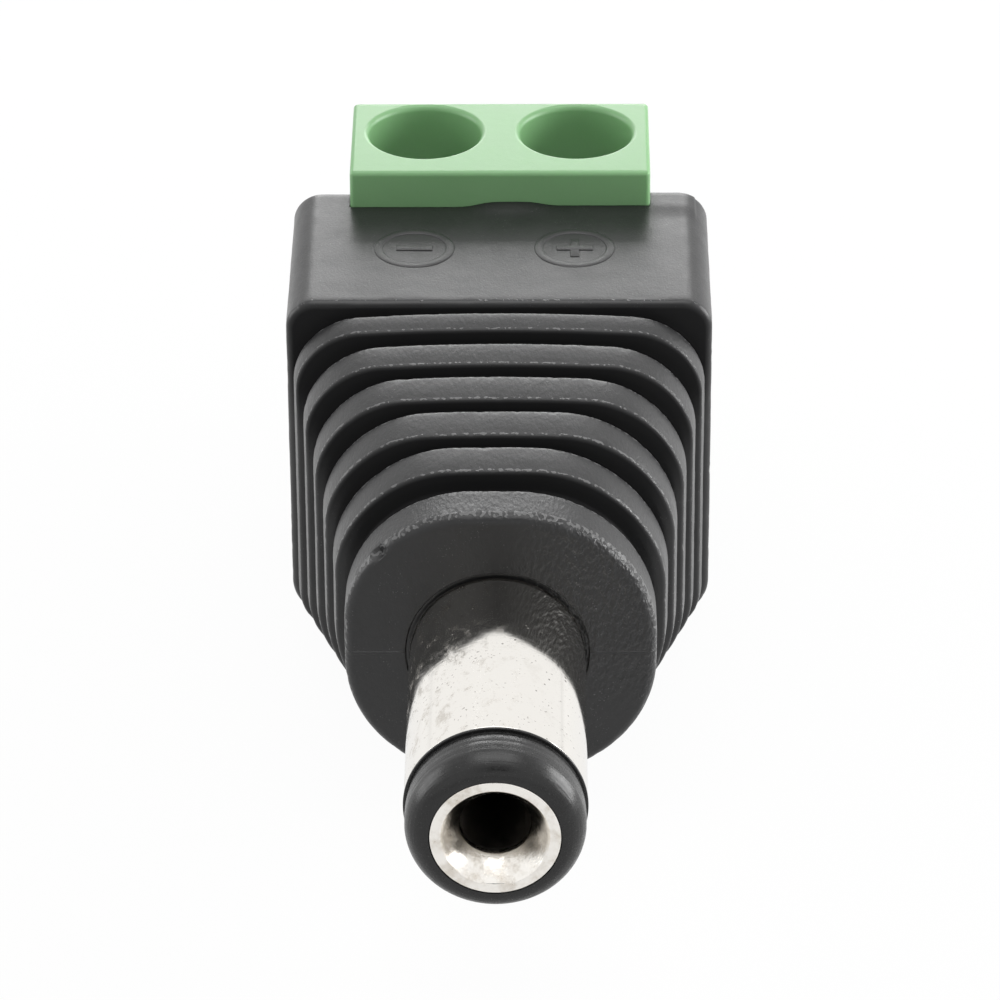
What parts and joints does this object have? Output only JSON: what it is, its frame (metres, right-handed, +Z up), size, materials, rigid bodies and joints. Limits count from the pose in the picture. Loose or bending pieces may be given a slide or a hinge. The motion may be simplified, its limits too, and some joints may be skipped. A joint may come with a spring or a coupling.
{
  "type": "dc barrel plug",
  "caption": "DC barrel plug with a ribbed black housing moulded onto a green screw-terminal block, whose rising cages clamp bare wires.",
  "frame": {"origin": "on the barrel's axis, at the front face of the nose", "axes": "-Y along the barrel towards its tip, +Y towards the wire ports, +Z up out of the screw wells, +X towards the positive side"},
  "size_m": [0.0138, 0.0367, 0.0133],
  "materials": {
    "nickelled_brass": "bright nickel plate, slightly pitted",
    "black_moulding": "soft grained moulding",
    "black_tip": "smooth satin plastic",
    "green_moulding": "satin moulded plastic",
    "plated_steel": "zinc plate",
    "tinned_brass": "tin plate",
    "tinned_copper": "tin plate",
    "solder": "bright solder",
    "pale_insulator": "plain moulded washer"
  },
  "bodies": {
    "root": {"barrel_sleeve": "nickelled_brass", "tip_insulator": "black_tip", "centre_contact": "nickelled_brass", "rear_insulator": "pale_insulator", "sleeve_lug": "tinned_brass", "centre_lug": "tinned_brass", "jumper_plus": "tinned_copper", "jumper_minus": "tinned_copper", "lug_solder_plus": "solder", "lug_solder_minus": "solder", "pin_solder_plus": "solder", "pin_solder_minus": "solder", "contact_bar_plus": "tinned_brass", "contact_bar_minus": "tinned_brass", "housing": "black_moulding", "terminal_block": "green_moulding"},
    "screw_plus": {"clamp_screw_plus": "plated_steel"},
    "screw_minus": {"clamp_screw_minus": "plated_steel"},
    "cage_plus": {"clamp_cage_plus": "plated_steel"},
    "cage_minus": {"clamp_cage_minus": "plated_steel"}
  },
  "joints": [
    {"name": "screw_turn_plus", "type": "hinge", "parent": "root", "child": "screw_plus", "pos_m": [0.00254, 0.0214, 0.00397], "axis": [0, 0, -1], "range_deg": [0, 1260]},
    {"name": "cage_rise_plus", "type": "slide", "parent": "root", "child": "cage_plus", "axis": [0, 0, 1], "range_m": [0, 0.00158]},
    {"name": "screw_turn_minus", "type": "hinge", "parent": "root", "child": "screw_minus", "pos_m": [-0.00254, 0.0214, 0.00397], "axis": [0, 0, -1], "range_deg": [0, 1260]},
    {"name": "cage_rise_minus", "type": "slide", "parent": "root", "child": "cage_minus", "axis": [0, 0, 1], "range_m": [0, 0.00158]}
  ],
  "couplings": [
    {"joint": "screw_turn_plus", "follows": "cage_rise_plus", "rad_per_m": 13963},
    {"joint": "screw_turn_minus", "follows": "cage_rise_minus", "rad_per_m": 13963}
  ]
}
